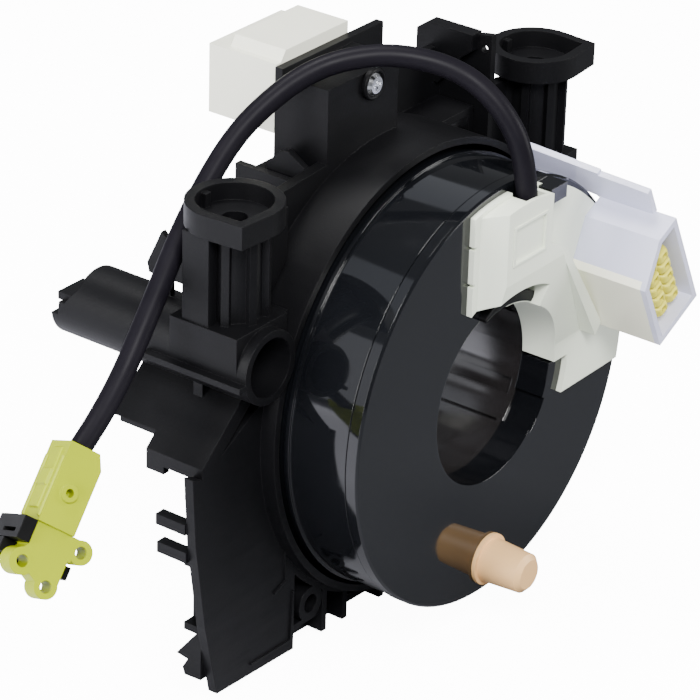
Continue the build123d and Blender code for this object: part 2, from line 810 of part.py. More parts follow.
finish(steering_terminals, "steering_terminals")


# Drive pin that engages the steering wheel
with BuildPart() as drive_pin:
    with BuildSketch(facing(0)):
        with Locations((pin_x, pin_z)):
            Circle(pin_ring_r)
    extrude(amount=pin_ring_t)
    with BuildSketch(facing(-pin_ring_t)):
        with Locations((pin_x, pin_z)):
            Circle(pin_root_r)
    with BuildSketch(facing(-pin_len)):
        with Locations((pin_x, pin_z)):
            Circle(pin_tip_r)
    loft()
    chamfer(drive_pin.edges().group_by(Axis.Y)[0], 1.1)
    with BuildSketch(facing(0)):
        with Locations((pin_x, pin_z)):
            Circle(pin_spigot_r)
    extrude(amount=-disc_t)
finish(drive_pin, "drive_pin")


# White plug behind the terminal box, open to the rear, and its terminals
plug_x0 = box_x0 + 0.4
plug_x1 = box_x1 + 0.6
plug_mid = ((plug_x0 + plug_x1) / 2, (plug_z0 + plug_z1) / 2)
plug_rear = plug_front + plug_len
with BuildPart() as rear_connector:
    with BuildSketch(facing(plug_front)):
        with Locations(plug_mid):
            Rectangle(plug_x1 - plug_x0, plug_z1 - plug_z0)
    extrude(amount=-plug_len)
    with BuildSketch(facing(plug_front)):
        with BuildLine():
            Polyline((plug_x0 + 1.6, plug_z1), (plug_x0 + 3.2, plug_z1 + plug_step),
                     (plug_x1, plug_z1 + plug_step), (plug_x1, plug_z1), close=True)
        make_face()
    extrude(amount=-(plug_len - 4.6))
    with BuildSketch(facing(plug_rear)):
        with Locations(plug_mid):
            Rectangle(plug_x1 - plug_x0 - 2 * plug_wall, plug_z1 - plug_z0 - 2 * plug_wall)
    extrude(amount=13.0, mode=Mode.SUBTRACT)
    with BuildSketch(facing(plug_front)):
        with Locations(port_mid):
            Rectangle(port_w - 2 * fit_gap, port_h - 2 * fit_gap)
    extrude(amount=9.0)
finish(rear_connector, "rear_connector")
with BuildPart() as rear_terminals:
    with BuildSketch(facing(plug_rear - 13.0)):
        with Locations(plug_mid):
            with GridLocations(3.0, 5.0, 6, 2):
                Rectangle(0.8, 0.8)
    extrude(amount=-7.0)
finish(rear_terminals, "rear_terminals")


# Screws: the pan head on the terminal box, and four that hold the drum from behind
with BuildPart() as box_screw:
    with BuildSketch(facing(floor_front)):
        with Locations((screw_x, screw_z)):
            Circle(2.6)
    extrude(amount=1.7)
    chamfer(box_screw.edges().group_by(Axis.Y)[0], 0.7)
    with BuildSketch(facing(floor_front - 1.7)):
        with Locations((screw_x, screw_z)):
            Rectangle(2.8, 0.6)
            Rectangle(0.6, 2.8)
    extrude(amount=-1.0, mode=Mode.SUBTRACT)
    with BuildSketch(facing(floor_front)):
        with Locations((screw_x, screw_z)):
            Circle(1.15)
    extrude(amount=-3.2)
finish(box_screw, "box_screw")


# Airbag lead: straight runs joined by tangent arcs, each arc as large as its runs allow
route = [Vector(x, depth(d), rotor_r + h) for x, d, h in lead_route]
arc_radii = []
for before, corner, after in zip(route, route[1:], route[2:]):
    turn = (corner - before).get_angle(after - corner)
    run = min((corner - before).length, (after - corner).length)
    arc_radii.append(0.45 * run / tan(radians(turn / 2)))
print("lead radii", [round(r, 1) for r in arc_radii])
print("lead runs", [round((b - a).length, 1) for a, b in zip(route, route[1:])])
with BuildPart() as airbag_lead:
    with BuildLine() as lead_line:
        FilletPolyline(*route, radius=arc_radii)
    with BuildSketch(Plane(origin=route[0], z_dir=route[1] - route[0])):
        Circle(lead_d / 2)
    sweep(path=lead_line.wire())
lead_length = lead_line.wire().length
print("lead length", round(lead_length, 1), "volume", round(airbag_lead.part.volume, 1),
      "section times length", round(3.14159265 * lead_d ** 2 / 4 * lead_length, 1))
finish(airbag_lead, "airbag_lead")


# Grommet at the lead's exit, seated in the holder's channel and cut square to the lead
lead_out = Plane(origin=route[0], z_dir=route[1] - route[0])
with BuildPart() as lead_grommet:
    with BuildSketch(Plane.XY.offset(exit_z0)):
        with Locations((route[0].X, depth(-(cover_h - cover_wall) / 2))):
            Rectangle(exit_w - 2 * fit_gap, cover_h - cover_wall - 2 * fit_gap)
    extrude(amount=8.0)
    split(bisect_by=lead_out, keep=Keep.BOTTOM)
finish(lead_grommet, "lead_grommet")


# Airbag connector at the lead's far end: local X and Y are its width and height
airbag_plane = Plane(origin=route[-1], x_dir=(-0.425, -0.847, 0.319), z_dir=route[-1] - route[-2])
airbag_side = Plane(origin=airbag_plane.origin, x_dir=airbag_plane.y_dir, z_dir=airbag_plane.x_dir)
head_end = airbag_l + airbag_head_l
with BuildPart() as airbag_connector:
    # body with one corner cut off at the lead's end
    with BuildSketch(airbag_side.offset(-airbag_w / 2)):
        with BuildLine():
            Polyline((-2.6, 0), (airbag_h / 2, 0), (airbag_h / 2, airbag_l), (-airbag_h / 2, airbag_l),
                     (-airbag_h / 2, 3.2), close=True)
        make_face()
    extrude(amount=airbag_w)
    with BuildSketch(airbag_side.offset(airbag_w / 2)):
        with Locations((0.5, 10.0)):
            Circle(1.9)
    extrude(amount=0.7)
    with BuildSketch(airbag_side.offset(airbag_w / 2 + 0.7)):
        with Locations((0.5, 10.0)):
            Circle(0.9)
    extrude(amount=-2.4, mode=Mode.SUBTRACT)
    # spine of the head
    with BuildSketch(airbag_side.offset(-4.2)):
        with Locations((-0.85, airbag_l + airbag_head_l / 2)):
            Rectangle(airbag_h + 1.7, airbag_head_l)
    extrude(amount=8.4)
    # three lobes with holes, and the arms that carry them
    with BuildSketch(airbag_side.offset(-0.8)):
        with Locations((-7.4, airbag_l + 2.3), (-3.1, head_end + 6.5)):
            Circle(2.6)
        with Locations((3.8, head_end + 3.7)):
            Circle(2.9)
        with BuildLine():
            Polyline((-5.4, head_end - 0.5), (-5.4, head_end + 6.5), (-0.6, head_end + 6.5),
                     (6.2, head_end + 3.0), (4.3, head_end + 0.4), (4.3, head_end - 0.5), close=True)
        make_face()
        with Locations((-7.4, airbag_l + 2.3), (-3.1, head_end + 6.5), (3.8, head_end + 3.7)):
            Circle(1.3, mode=Mode.SUBTRACT)
    extrude(amount=5.0)
finish(airbag_connector, "airbag_connector")


# Lock that slides across the connector's head: a slotted band over its side, a cheek behind
# it, and a prong that passes the spine's end
with BuildPart() as airbag_lock:
    with BuildSketch(airbag_side.offset(-airbag_w / 2 - fit_gap)):
        with Locations((airbag_h / 2 + fit_gap + lock_t / 2, airbag_l + 2.6)):
            Rectangle(lock_t, 4.9)
    extrude(amount=airbag_w + 2 * fit_gap)
    with BuildSketch(airbag_side.offset(-3.0)):
        with Locations((airbag_h / 2 + fit_gap + lock_t / 2, airbag_l + 3.4)):
            Rectangle(2 * lock_t, 0.9)
    extrude(amount=6.0, mode=Mode.SUBTRACT)
    with BuildSketch(airbag_side.offset(-airbag_w / 2 - 2.1)):
        with BuildLine():
            Polyline((-1.0, airbag_l + 0.2), (airbag_h / 2 + fit_gap + lock_t, airbag_l + 0.2),
                     (airbag_h / 2 + fit_gap + lock_t, head_end + 4.0), (-1.0, head_end + 4.0),
                     close=True)
        make_face()
    extrude(amount=2.0)
    with BuildSketch(airbag_side.offset(-airbag_w / 2 - fit_gap)):
        with Locations((-0.8, head_end + fit_gap + 1.4)):
            Rectangle(16.4, 2.8)
    extrude(amount=3.9)
finish(airbag_lock, "airbag_lock")
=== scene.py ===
# %% [markdown]
# A steering clock spring, dressed for its portrait. The shapes come from the CAD model,
# which is loaded first and stays as it is. Blender works in metres, in the model's own frame:
# the rotor's face looks towards -Y, the steering column would stand at +Y, and +Z is up. The
# origin lies on the wheel's axis at the rear end of the hub, 38 mm behind the rotor's face.
# Sizes of the part are written in millimetres, and MM turns them into metres.

# %% Load the model
import math

import bpy
import numpy as np
from mathutils import Matrix, Vector


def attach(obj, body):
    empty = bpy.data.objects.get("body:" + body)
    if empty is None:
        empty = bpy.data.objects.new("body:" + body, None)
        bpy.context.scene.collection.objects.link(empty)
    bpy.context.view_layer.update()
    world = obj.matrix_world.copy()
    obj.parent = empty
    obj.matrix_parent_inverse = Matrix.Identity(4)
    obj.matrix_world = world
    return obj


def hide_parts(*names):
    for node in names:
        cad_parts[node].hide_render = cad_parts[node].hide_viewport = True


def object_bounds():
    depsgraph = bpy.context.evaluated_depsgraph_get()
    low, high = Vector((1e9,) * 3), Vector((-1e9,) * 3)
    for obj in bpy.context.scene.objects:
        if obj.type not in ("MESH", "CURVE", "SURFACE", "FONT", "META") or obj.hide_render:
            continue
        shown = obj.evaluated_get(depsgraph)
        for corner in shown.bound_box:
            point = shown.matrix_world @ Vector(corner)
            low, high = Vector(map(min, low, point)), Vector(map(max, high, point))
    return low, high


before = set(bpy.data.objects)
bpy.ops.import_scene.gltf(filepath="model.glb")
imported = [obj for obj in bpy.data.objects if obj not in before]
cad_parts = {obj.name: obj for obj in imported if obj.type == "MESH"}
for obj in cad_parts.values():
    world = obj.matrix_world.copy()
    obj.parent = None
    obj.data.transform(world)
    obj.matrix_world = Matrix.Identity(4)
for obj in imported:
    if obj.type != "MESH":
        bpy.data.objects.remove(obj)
cad_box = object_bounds()
MM = 0.001
HUB_REAR = 38.0
print("pieces in the model:", len(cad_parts))

# %% [markdown]
# Three small jobs come back in every step below: turning a depth behind the rotor's face into
# a Y, putting a new object in the scene, and making a shader node with its values. Each is a
# short function, so that the steps themselves stay easy to read.

# %% Helpers


def depth(d):
    """Y in metres of a depth in millimetres behind the rotor's face."""
    return (d - HUB_REAR) * MM


def put_in_scene(name, data):
    """A new object at the origin, in the scene, for a mesh, curve, light or camera."""
    made = bpy.data.objects.new(name, data)
    bpy.context.scene.collection.objects.link(made)
    return made


def add_node(tree, kind, values=(), **settings):
    """A new shader node: first its settings, then the values of its inputs."""
    node = tree.nodes.new(kind)
    for setting, value in settings.items():
        setattr(node, setting, value)
    for label, value in dict(values).items():
        node.inputs[label].default_value = value
    return node


# %% [markdown]
# The camera stands where the photographer stood: to the driver's left, looking down at the
# part through a long lens. Its three axes are worked out from two angles and a small roll,
# so that the frame of the picture falls on the same edges of the part.

# %% Camera
AZIMUTH = math.radians(-53.58)
ELEVATION = math.radians(27.31)
ROLL = math.radians(1.71)
FOCAL_PX = 3634.77
PICTURE_PX = 700.0
SENSOR_WIDTH = 36.0
DISTANCE = 798.92
SHIFT_RIGHT = -31.66
SHIFT_UP = 9.46
CLIP_NEAR = 0.05
CLIP_FAR = 20.0
back = Vector((
    math.sin(AZIMUTH) * math.cos(ELEVATION),
    -math.cos(AZIMUTH) * math.cos(ELEVATION),
    math.sin(ELEVATION),
))
level = Vector((math.cos(AZIMUTH), math.sin(AZIMUTH), 0))
above = back.cross(level)
right = level * math.cos(ROLL) + above * math.sin(ROLL)
up = above * math.cos(ROLL) - level * math.sin(ROLL)
eye = (right * SHIFT_RIGHT + up * SHIFT_UP + back * DISTANCE) * MM + Vector((0, depth(0), 0))
camera_data = bpy.data.cameras.new("portrait_camera")
camera_data.sensor_width = SENSOR_WIDTH
camera_data.lens = SENSOR_WIDTH * FOCAL_PX / PICTURE_PX
camera_data.clip_start = CLIP_NEAR
camera_data.clip_end = CLIP_FAR
camera = put_in_scene("portrait_camera", camera_data)
turn = Matrix((right, up, back)).transposed()
camera.matrix_world = Matrix.Translation(eye) @ turn.to_4x4()
bpy.context.scene.camera = camera
print("camera at", [round(v, 3) for v in eye])

# %% [markdown]
# A picture of a black part is a picture of its lights. The camera sees a white room, but
# mirrored light should come from a few soft panels only, so every ray that isn't the camera's
# finds a dim room instead, as if black cloth hung around the table. The Light Path node tells
# the two kinds of ray apart. It also counts the see-through surfaces on the way, so the white
# is calmer behind the milky shroud than beside it, and doesn't burn the thin wall away.

# %% Room
ROOM_COLOUR = (0.93, 0.95, 1.0, 1.0)
ROOM_SEEN = 12.0
ROOM_BEHIND_SHROUD = 0.6
ROOM_MIRRORED = 0.18


def seen_strength(tree, mirrored):
    """A strength: high for the camera, lower for it through a clear wall, dim for other rays."""
    path = add_node(tree, "ShaderNodeLightPath")
    through = add_node(
        tree, "ShaderNodeMapRange", {"To Min": ROOM_SEEN, "To Max": ROOM_BEHIND_SHROUD}
    )
    by_ray = add_node(tree, "ShaderNodeMapRange", {"To Min": mirrored})
    tree.links.new(path.outputs["Transparent Depth"], through.inputs["Value"])
    tree.links.new(path.outputs["Is Camera Ray"], by_ray.inputs["Value"])
    tree.links.new(through.outputs["Result"], by_ray.inputs["To Max"])
    return by_ray.outputs["Result"]


world = bpy.data.worlds.new("pale_room")
bpy.context.scene.world = world
world.use_nodes = True
backdrop = world.node_tree.nodes["Background"]
backdrop.inputs["Color"].default_value = ROOM_COLOUR
room_strength = seen_strength(world.node_tree, ROOM_MIRRORED)
world.node_tree.links.new(room_strength, backdrop.inputs["Strength"])
print("room:", world.name, "seen at", ROOM_SEEN, "and mirrored at", ROOM_MIRRORED)

# %% [markdown]
# The panels copy a product photographer's set. The key panel stands high at the front left,
# with a top panel over the part. The left panel draws the long highlight down the drum's side.
# The three cards behind the part give little light, but the polished drum and the hub's bore
# mirror them. The right panel fills the side that the key panel leaves in shadow.

# %% Light panels
BACK_TINT = (0.90, 0.92, 1.0)
HIGH_TINT = (0.84, 0.89, 1.0)


def softbox(name, place, aim, size, watts, tint=(1.0, 1.0, 1.0)):
    """A rectangular light panel that stands at one point and faces another, in metres."""
    data = bpy.data.lights.new(name, "AREA")
    data.shape = "RECTANGLE"
    data.size = size[0]
    data.size_y = size[1]
    data.energy = watts
    data.color = tint
    lamp = put_in_scene(name, data)
    direction = (Vector(aim) - Vector(place)).normalized()
    facing = direction.to_track_quat("-Z", "Y").to_matrix().to_4x4()
    lamp.matrix_world = Matrix.Translation(Vector(place)) @ facing
    return lamp


panels = [
    softbox("key_panel", place=(-0.55, -0.55, 0.75), aim=(0, -0.02, 0), size=(0.45, 0.35), watts=20.0),
    softbox("top_panel", place=(0.05, 0.25, 0.95), aim=(0, 0, 0), size=(0.35, 0.3), watts=9.5),
    softbox("left_panel", place=(-1.0, 0.25, 0.3), aim=(-0.02, 0, 0), size=(0.35, 0.6), watts=12.0),
    softbox(
        "back_card", place=(-0.9, 0.85, 0.35), aim=(-0.02, 0, 0.02), size=(0.8, 0.7),
        watts=2.0, tint=BACK_TINT,
    ),
    softbox(
        "high_left_card", place=(-0.6, 0.69, 0.93), aim=(0, 0, 0), size=(0.42, 0.5),
        watts=0.5, tint=HIGH_TINT,
    ),
    softbox(
        "high_right_card", place=(0.64, 0.69, 0.90), aim=(0, 0, 0), size=(0.5, 0.36),
        watts=0.4, tint=HIGH_TINT,
    ),
    softbox("right_panel", place=(0.7, -0.8, 0.35), aim=(0.0, -0.03, 0), size=(0.5, 0.6), watts=10.0),
]
print("light panels:", ", ".join(panel.name for panel in panels))

# %% [markdown]
# The floor is a pale sheet a little below the part. It is only a stage and not a piece of the object.

# %% Floor
FLOOR_GAP = 0.5
FLOOR_HALF = 3.0
floor_z = cad_box[0][2] - FLOOR_GAP * MM
floor_mesh = bpy.data.meshes.new("studio_floor")
corners = [(FLOOR_HALF * x, FLOOR_HALF * y, floor_z) for x, y in ((-1, -1), (1, -1), (1, 1), (-1, 1))]
floor_mesh.from_pydata(corners, [], [(0, 1, 2, 3)])
studio_floor = put_in_scene("studio_floor", floor_mesh)
print("floor at Z", round(floor_z, 4))

# %% [markdown]
# Moulded plastic is never perfectly smooth: the mould's spark-eroded skin leaves a very fine
# grain. It could be painted as a picture, but a picture shows its pixels up close. Here a fine
# noise and small cells make it at any distance, and a slow noise lets the colour wander. Many
# finishes share this effect, so it is a shader node group, built once.

# %% Grain of the mould
GRAIN_SCALE = 2600.0
PATCH_SCALE = 45.0
CELL_SHARE = 0.5


def node_group(name, inputs, outputs):
    """A shader group with named sockets, and its two end nodes."""
    group = bpy.data.node_groups.new(name, "ShaderNodeTree")
    for label, kind, value in inputs:
        socket = group.interface.new_socket(label, in_out="INPUT", socket_type=kind)
        if value is not None:
            socket.default_value = value
    for label, kind in outputs:
        group.interface.new_socket(label, in_out="OUTPUT", socket_type=kind)
    return group, add_node(group, "NodeGroupInput"), add_node(group, "NodeGroupOutput")


def moulded_skin():
    """Height of a fine grain, from noise and cells, and a slow tone that wanders from 0 to 1."""
    group, start, end = node_group(
        "moulded_skin",
        [
            ("Vector", "NodeSocketVector", None),
            ("Grain Scale", "NodeSocketFloat", GRAIN_SCALE),
            ("Patch Scale", "NodeSocketFloat", PATCH_SCALE),
        ],
        [("Height", "NodeSocketFloat"), ("Tone", "NodeSocketFloat")],
    )
    link = group.links.new
    fine = add_node(group, "ShaderNodeTexNoise", {"Detail": 3.0})
    cells = add_node(group, "ShaderNodeTexVoronoi")
    patch = add_node(group, "ShaderNodeTexNoise", {"Detail": 4.0, "Roughness": 0.6})
    mix = add_node(group, "ShaderNodeMath", {1: CELL_SHARE}, operation="MULTIPLY_ADD")
    for texture, scale in ((fine, "Grain Scale"), (cells, "Grain Scale"), (patch, "Patch Scale")):
        link(start.outputs["Vector"], texture.inputs["Vector"])
        link(start.outputs[scale], texture.inputs["Scale"])
    link(cells.outputs["Distance"], mix.inputs[0])
    link(fine.outputs["Fac"], mix.inputs[2])
    link(mix.outputs["Value"], end.inputs["Height"])
    link(patch.outputs["Fac"], end.inputs["Tone"])
    return group


SKIN = moulded_skin()
print("shared effect:", SKIN.name)

# %% [markdown]
# Handling leaves soft patches where the surface is a little duller. Two noises are multiplied,
# so that a mark needs both: one is stretched into wiping streaks, and the other makes round
# smudges. A Map Range then sharpens the result. This is the second shared effect.

# %% Marks of handling
HANDLING_SCALE = 60.0
STREAK_STRETCH = (1.0, 1.0, 6.0)
STREAK_TURN = (0.3, 0.5, 0.2)


def soft_handling():
    """A mask of thin wiping streaks and round smudges, between 0 and 1."""
    group, start, end = node_group(
        "soft_handling",
        [("Vector", "NodeSocketVector", None), ("Scale", "NodeSocketFloat", HANDLING_SCALE)],
        [("Mask", "NodeSocketFloat")],
    )
    link = group.links.new
    stretch = add_node(group, "ShaderNodeMapping", {"Scale": STREAK_STRETCH, "Rotation": STREAK_TURN})
    streaks = add_node(group, "ShaderNodeTexNoise", {"Detail": 6.0})
    smudges = add_node(group, "ShaderNodeTexNoise", {"Detail": 2.0})
    product = add_node(group, "ShaderNodeMath", operation="MULTIPLY")
    sharpen = add_node(group, "ShaderNodeMapRange", {"From Min": 0.16, "From Max": 0.42})
    link(start.outputs["Vector"], stretch.inputs["Vector"])
    link(stretch.outputs["Vector"], streaks.inputs["Vector"])
    link(start.outputs["Vector"], smudges.inputs["Vector"])
    for noise in (streaks, smudges):
        link(start.outputs["Scale"], noise.inputs["Scale"])
    link(streaks.outputs["Fac"], product.inputs[0])
    link(smudges.outputs["Fac"], product.inputs[1])
    link(product.outputs["Value"], sharpen.inputs["Value"])
    link(sharpen.outputs["Result"], end.inputs["Mask"])
    return group


HANDLING = soft_handling()
print("shared effect:", HANDLING.name)

# %% [markdown]
# Every plastic here is the same recipe with its own values: a base colour that wanders
# slightly, a roughness that the smudges change, and the grain as a bump. A Bevel node in the
# material rounds the moulded edges by a quarter of a millimetre, where the light catches.

# %% Recipe for plastic
GRAIN_DEPTH = 0.2
BEVEL_SAMPLES = 4


def new_material(name):
    """A material with nodes, its node tree and its Principled shader."""
    material = bpy.data.materials.new(name)
    material.use_nodes = True
    return material, material.node_tree, material.node_tree.nodes["Principled BSDF"]


def plastic(
    name, dark, light, rough=0.4, smudge=0.08, grain=0.05, patch=PATCH_SCALE, edge=0.25, specular=0.5
):
    """A moulded finish: two close colours, a range of roughness, and its edges' radius in mm."""
    material, tree, shader = new_material(name)
    link = tree.links.new
    shader.inputs["Specular IOR Level"].default_value = specular
    place = add_node(tree, "ShaderNodeTexCoord")
    skin = add_node(
        tree, "ShaderNodeGroup", {"Grain Scale": GRAIN_SCALE, "Patch Scale": patch}, node_tree=SKIN
    )
    marks = add_node(tree, "ShaderNodeGroup", node_tree=HANDLING)
    colour = add_node(tree, "ShaderNodeMix", {"A": (*dark, 1.0), "B": (*light, 1.0)}, data_type="RGBA")
    gloss = add_node(tree, "ShaderNodeMapRange", {"To Min": rough, "To Max": rough + smudge})
    bump = add_node(tree, "ShaderNodeBump", {"Strength": grain, "Distance": GRAIN_DEPTH * MM})
    link(place.outputs["Object"], skin.inputs["Vector"])
    link(place.outputs["Object"], marks.inputs["Vector"])
    link(skin.outputs["Tone"], colour.inputs["Factor"])
    link(colour.outputs["Result"], shader.inputs["Base Color"])
    link(marks.outputs["Mask"], gloss.inputs["Value"])
    link(gloss.outputs["Result"], shader.inputs["Roughness"])
    link(skin.outputs["Height"], bump.inputs["Height"])
    if edge:
        rounded = add_node(tree, "ShaderNodeBevel", {"Radius": edge * MM}, samples=BEVEL_SAMPLES)
        link(rounded.outputs["Normal"], bump.inputs["Normal"])
    link(bump.outputs["Normal"], shader.inputs["Normal"])
    return material


def dress(material, *names):
    """Give CAD nodes their finish."""
    for name in names:
        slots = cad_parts[name].data.materials
        slots.clear()
        slots.append(material)
    print(material.name, "on", ", ".join(names))


# %% [markdown]
# The housing is satin black and mirrors little, so mostly its edges catch the light. The drum
# and the rotor's disc are polished, and the hub's bore nearly so. The airbag connector and its
# lock are duller.

# %% Black and bright plastics
housing_black = plastic(
    "housing_black", dark=(0.0025, 0.0025, 0.003), light=(0.005, 0.005, 0.0058),
    smudge=0.12, grain=0.1, specular=0.14,
)
gloss_black = plastic(
    "gloss_black", dark=(0.0030, 0.0033, 0.0042), light=(0.0045, 0.005, 0.0062),
    rough=0.05, smudge=0.05, grain=0.003, patch=25.0,
)
hub_black = plastic(
    "hub_black", dark=(0.010, 0.009, 0.009), light=(0.016, 0.014, 0.014),
    rough=0.12, grain=0.01, specular=1.0,
)
bright_yellow = plastic(
    "bright_yellow", dark=(0.31, 0.37, 0.0), light=(0.37, 0.43, 0.0),
    rough=0.35, smudge=0.1, specular=0.12,
)
lock_black = plastic(
    "lock_black", dark=(0.003, 0.003, 0.003), light=(0.006, 0.006, 0.006),
    rough=0.35, smudge=0.1, specular=0.12,
)
dress(housing_black, "bracket_housing")
dress(gloss_black, "drum_case", "rotor_disc")
dress(hub_black, "hub_sleeve", "retaining_ring")
dress(bright_yellow, "airbag_connector")
dress(lock_black, "airbag_lock")

# %% [markdown]
# The holder, the plugs, the insert and the drive pin are dyed right through and keep the
# mould's dull skin, so little more than their colour differs.

# %% Pale plastics
white_plastic = plastic("white_plastic", dark=(0.82, 0.87, 0.72), light=(0.86, 0.91, 0.77), rough=0.38)
warm_white = plastic("warm_white", dark=(0.86, 0.86, 0.72), light=(0.90, 0.90, 0.77))
cream_plastic = plastic("cream_plastic", dark=(0.74, 0.73, 0.56), light=(0.79, 0.78, 0.61))
pale_yellow = plastic("pale_yellow", dark=(0.72, 0.66, 0.06), light=(0.80, 0.74, 0.10))
tan_plastic = plastic("tan_plastic", dark=(0.86, 0.50, 0.20), light=(0.90, 0.55, 0.25), rough=0.42)
dress(white_plastic, "connector_holder")
dress(warm_white, "rear_connector")
dress(cream_plastic, "steering_connector")
dress(pale_yellow, "connector_insert")
dress(tan_plastic, "drive_pin")

# %% [markdown]
# The ribbon, its two slide films and the two terminal blocks hide inside the drum, where only
# a cut-away view would show them. They get their own finishes all the same, and so does the
# rubber seal round the lead's exit.

# %% Films, blocks and seal
terminal_grey = plastic(
    "terminal_grey", dark=(0.05, 0.05, 0.052), light=(0.07, 0.07, 0.072), rough=0.45, smudge=0.1
)
rubber_black = plastic(
    "rubber_black", dark=(0.01, 0.01, 0.01), light=(0.016, 0.016, 0.016), rough=0.6, smudge=0.1
)
slide_film = plastic(
    "slide_film", dark=(0.6, 0.57, 0.48), light=(0.66, 0.63, 0.54), rough=0.3, smudge=0.1, grain=0.01
)
ribbon_film = plastic(
    "ribbon_film", dark=(0.55, 0.38, 0.16), light=(0.62, 0.45, 0.22), rough=0.25, smudge=0.1, grain=0.01
)
dress(terminal_grey, "inner_terminal_block", "outer_terminal_block")
dress(rubber_black, "lead_grommet")
dress(slide_film, "slide_sheet_front", "slide_sheet_rear")
dress(ribbon_film, "ribbon_coil")

# %% [markdown]
# The shroud around the steering-wheel connector is milky: light goes through its wall and is
# scattered on the way. A full volume would be slow and noisy in so thin a wall, so the wall is
# a pale, partly clear surface instead, and Layer Weight makes it denser where it is seen
# along its length, as milky plastic is. A faint glow stands for the light that wanders inside.
# The wall on the hub's side is thin and lies flat on the cream body, so there its colour turns to solid
# cream. That is partly the body's own colour and partly painted light: the cream is as bright as if lit
# where the outer walls shade the body, and it glows with the rest of the wall. The mask for that comes
# from the distance along the socket's own radius.

# %% Milky shroud
SOCKET_ACROSS = (0.899, 0.438)
HUB_SIDE_R = 34.3
LIP_DEPTH = -19.6
PAINTED_LIT_CREAM = (0.90, 0.89, 0.74, 1.0)
MILKY_GLOW = 0.10
MILKY_BLEND = 0.35
ALPHA_FACE_ON = 0.74
ALPHA_EDGE_ON = 0.95


def make_milky(material):
    """Make a plastic clear by angle, with a faint glow, and painted solid lit cream on the hub's side."""
    tree = material.node_tree
    link = tree.links.new
    shader = tree.nodes["Principled BSDF"]
    shader.inputs["Emission Strength"].default_value = MILKY_GLOW
    radius_line = (SOCKET_ACROSS[0], 0.0, SOCKET_ACROSS[1])
    place = add_node(tree, "ShaderNodeTexCoord")
    axes = add_node(tree, "ShaderNodeSeparateXYZ")
    out_along = add_node(tree, "ShaderNodeVectorMath", {1: radius_line}, operation="DOT_PRODUCT")
    hub_side = add_node(tree, "ShaderNodeMath", {1: HUB_SIDE_R * MM}, operation="LESS_THAN")
    behind_lip = add_node(tree, "ShaderNodeMath", {1: depth(LIP_DEPTH)}, operation="GREATER_THAN")
    mask = add_node(tree, "ShaderNodeMath", operation="MULTIPLY")
    # The cream here is painted as if lit, over the shade that falls on the body behind the wall.
    colour = add_node(tree, "ShaderNodeMix", {"B": PAINTED_LIT_CREAM}, data_type="RGBA")
    density = add_node(tree, "ShaderNodeLayerWeight", {"Blend": MILKY_BLEND})
    clearness = add_node(
        tree, "ShaderNodeMapRange", {"To Min": ALPHA_FACE_ON, "To Max": ALPHA_EDGE_ON}
    )
    alpha = add_node(tree, "ShaderNodeMath", operation="MAXIMUM")
    link(place.outputs["Object"], out_along.inputs[0])
    link(place.outputs["Object"], axes.inputs["Vector"])
    link(out_along.outputs["Value"], hub_side.inputs[0])
    link(axes.outputs["Y"], behind_lip.inputs[0])
    link(hub_side.outputs["Value"], mask.inputs[0])
    link(behind_lip.outputs["Value"], mask.inputs[1])
    link(mask.outputs["Value"], colour.inputs["Factor"])
    link(shader.inputs["Base Color"].links[0].from_socket, colour.inputs["A"])
    link(colour.outputs["Result"], shader.inputs["Base Color"])
    link(colour.outputs["Result"], shader.inputs["Emission Color"])
    link(density.outputs["Facing"], clearness.inputs["Value"])
    link(clearness.outputs["Result"], alpha.inputs[0])
    link(mask.outputs["Value"], alpha.inputs[1])
    link(alpha.outputs["Value"], shader.inputs["Alpha"])


milky_plastic = plastic(
    "milky_plastic", dark=(0.66, 0.67, 0.86), light=(0.73, 0.74, 0.92), rough=0.2, grain=0.02
)
make_milky(milky_plastic)
dress(milky_plastic, "connector_shroud")

# %% [markdown]
# The contacts and the screw are metal, so their colour sits in the reflection. The streaks of
# the handling effect, made much smaller, give the fine marks of stamping and turning.

# %% Metals
METAL_SPREAD = 0.12
STAMP_STRENGTH = 0.06
STAMP_DEPTH = 0.1


def metal(name, tint, rough, marks_scale):
    """A metal finish: its reflection's colour, its roughness and the size of its marks."""
    material, tree, shader = new_material(name)
    link = tree.links.new
    shader.inputs["Base Color"].default_value = (*tint, 1.0)
    shader.inputs["Metallic"].default_value = 1.0
    place = add_node(tree, "ShaderNodeTexCoord")
    marks = add_node(tree, "ShaderNodeGroup", {"Scale": marks_scale}, node_tree=HANDLING)
    gloss = add_node(tree, "ShaderNodeMapRange", {"To Min": rough, "To Max": rough + METAL_SPREAD})
    bump = add_node(
        tree, "ShaderNodeBump", {"Strength": STAMP_STRENGTH, "Distance": STAMP_DEPTH * MM}
    )
    link(place.outputs["Object"], marks.inputs["Vector"])
    link(marks.outputs["Mask"], gloss.inputs["Value"])
    link(gloss.outputs["Result"], shader.inputs["Roughness"])
    link(marks.outputs["Mask"], bump.inputs["Height"])
    link(bump.outputs["Normal"], shader.inputs["Normal"])
    return material


contact_brass = metal("contact_brass", tint=(0.80, 0.68, 0.40), rough=0.25, marks_scale=900.0)
screw_chrome = metal("screw_chrome", tint=(0.82, 0.83, 0.85), rough=0.14, marks_scale=1500.0)
dress(contact_brass, "steering_terminals", "rear_terminals")
dress(screw_chrome, "box_screw")

# %% [markdown]
# Three of the pieces below are thin forms with a shaped front: the posts of the insert, the
# rim over the hub's mouth and the latch. Each could be built up face by face. Here each is two
# grids of points, a shaped one and a plain one behind it, and one function closes them into a
# solid.

# %% Solid between two sheets


def mesh_piece(name, points, faces):
    """A new object from an array of points in metres and an array of faces."""
    mesh = bpy.data.meshes.new(name)
    mesh.from_pydata(points.tolist(), [], faces.tolist())
    mesh.update()
    return put_in_scene(name, mesh)


